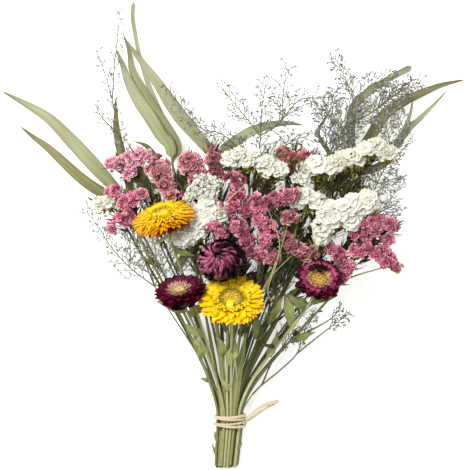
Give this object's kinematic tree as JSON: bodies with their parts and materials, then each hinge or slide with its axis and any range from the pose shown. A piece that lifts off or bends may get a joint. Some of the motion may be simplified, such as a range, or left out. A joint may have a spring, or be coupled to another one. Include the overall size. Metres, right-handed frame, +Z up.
{
  "type": "dried flower bouquet",
  "caption": "Bouquet of dried strawflowers, statice, caspia and long narrow leaves, tied round the stems with raffia and laid on its back.",
  "frame": {"origin": "under the middle of the bouquet's extents, on the table it lies on", "axes": "+Z up from the table, +Y from the cut stem ends towards the leaf tips, +X to the right of someone who looks down on it with the tips away from them"},
  "size_m": [0.394, 0.3971, 0.1073],
  "materials": {
    "strawflower_yellow": "stiff papery bracts, satin, bright yellow with orange tips",
    "strawflower_gold": "stiff papery bracts, satin, orange gold",
    "strawflower_burgundy": "stiff papery bracts, satin, dark burgundy",
    "disc_yellow": "dry matt disc of tiny florets, ochre",
    "disc_cream": "dry matt disc of tiny florets, cream",
    "statice_pink": "papery florets, matt, dusty pink",
    "statice_white": "papery florets, matt, off-white",
    "stem_green": "dry ribbed stem, matt, olive green",
    "stem_straw": "dry stem and leaves, matt, straw green",
    "eucalyptus_sage": "dry leathery leaves, matt, sage green",
    "caspia_grey": "fine dry twigs and buds, matt, grey",
    "raffia": "split raffia strip, slight sheen, cream"
  },
  "bodies": {
    "root": {"burgundy_dome_bracts": "strawflower_burgundy", "burgundy_dome_stem": "stem_straw", "burgundy_hidden_bracts": "strawflower_burgundy", "burgundy_hidden_stem": "stem_straw", "burgundy_left_bracts": "strawflower_burgundy", "burgundy_left_disc": "disc_cream", "burgundy_left_stem": "stem_straw", "burgundy_right_bracts": "strawflower_burgundy", "burgundy_right_disc": "disc_cream", "burgundy_right_stem": "stem_straw", "caspia_left": "caspia_grey", "caspia_low_left": "caspia_grey", "caspia_low_right": "caspia_grey", "caspia_middle": "caspia_grey", "caspia_right": "caspia_grey", "caspia_top_right": "caspia_grey", "eucalyptus_left": "eucalyptus_sage", "eucalyptus_middle": "eucalyptus_sage", "eucalyptus_right": "eucalyptus_sage", "eucalyptus_top": "eucalyptus_sage", "pink_centre_florets": "statice_pink", "pink_centre_right_florets": "statice_pink", "pink_centre_right_stem": "stem_green", "pink_centre_stem": "stem_green", "pink_far_left_florets": "statice_pink", "pink_far_left_stem": "stem_green", "pink_left_florets": "statice_pink", "pink_left_stem": "stem_green", "pink_low_middle_florets": "statice_pink", "pink_low_middle_stem": "stem_green", "pink_low_right_florets": "statice_pink", "pink_low_right_stem": "stem_green", "pink_right_florets": "statice_pink", "pink_right_stem": "stem_green", "pink_top_florets": "statice_pink", "pink_top_stem": "stem_green", "pink_upper_left_florets": "statice_pink", "pink_upper_left_stem": "stem_green", "pink_upper_right_florets": "statice_pink", "pink_upper_right_stem": "stem_green", "raffia_tie": "raffia", "white_fan_florets": "statice_white", "white_fan_stem": "stem_green", "white_lacy_florets": "statice_white", "white_lacy_stem": "stem_green", "white_left_florets": "statice_white", "white_left_stem": "stem_green", "white_right_florets": "statice_white", "white_right_stem": "stem_green", "white_top_florets": "statice_white", "white_top_right_florets": "statice_white", "white_top_right_stem": "stem_green", "white_top_stem": "stem_green", "yellow_front_bracts": "strawflower_yellow", "yellow_front_disc": "disc_yellow", "yellow_front_stem": "stem_straw", "yellow_left_bracts": "strawflower_gold", "yellow_left_disc": "disc_yellow", "yellow_left_stem": "stem_straw"}
  },
  "joints": []
}
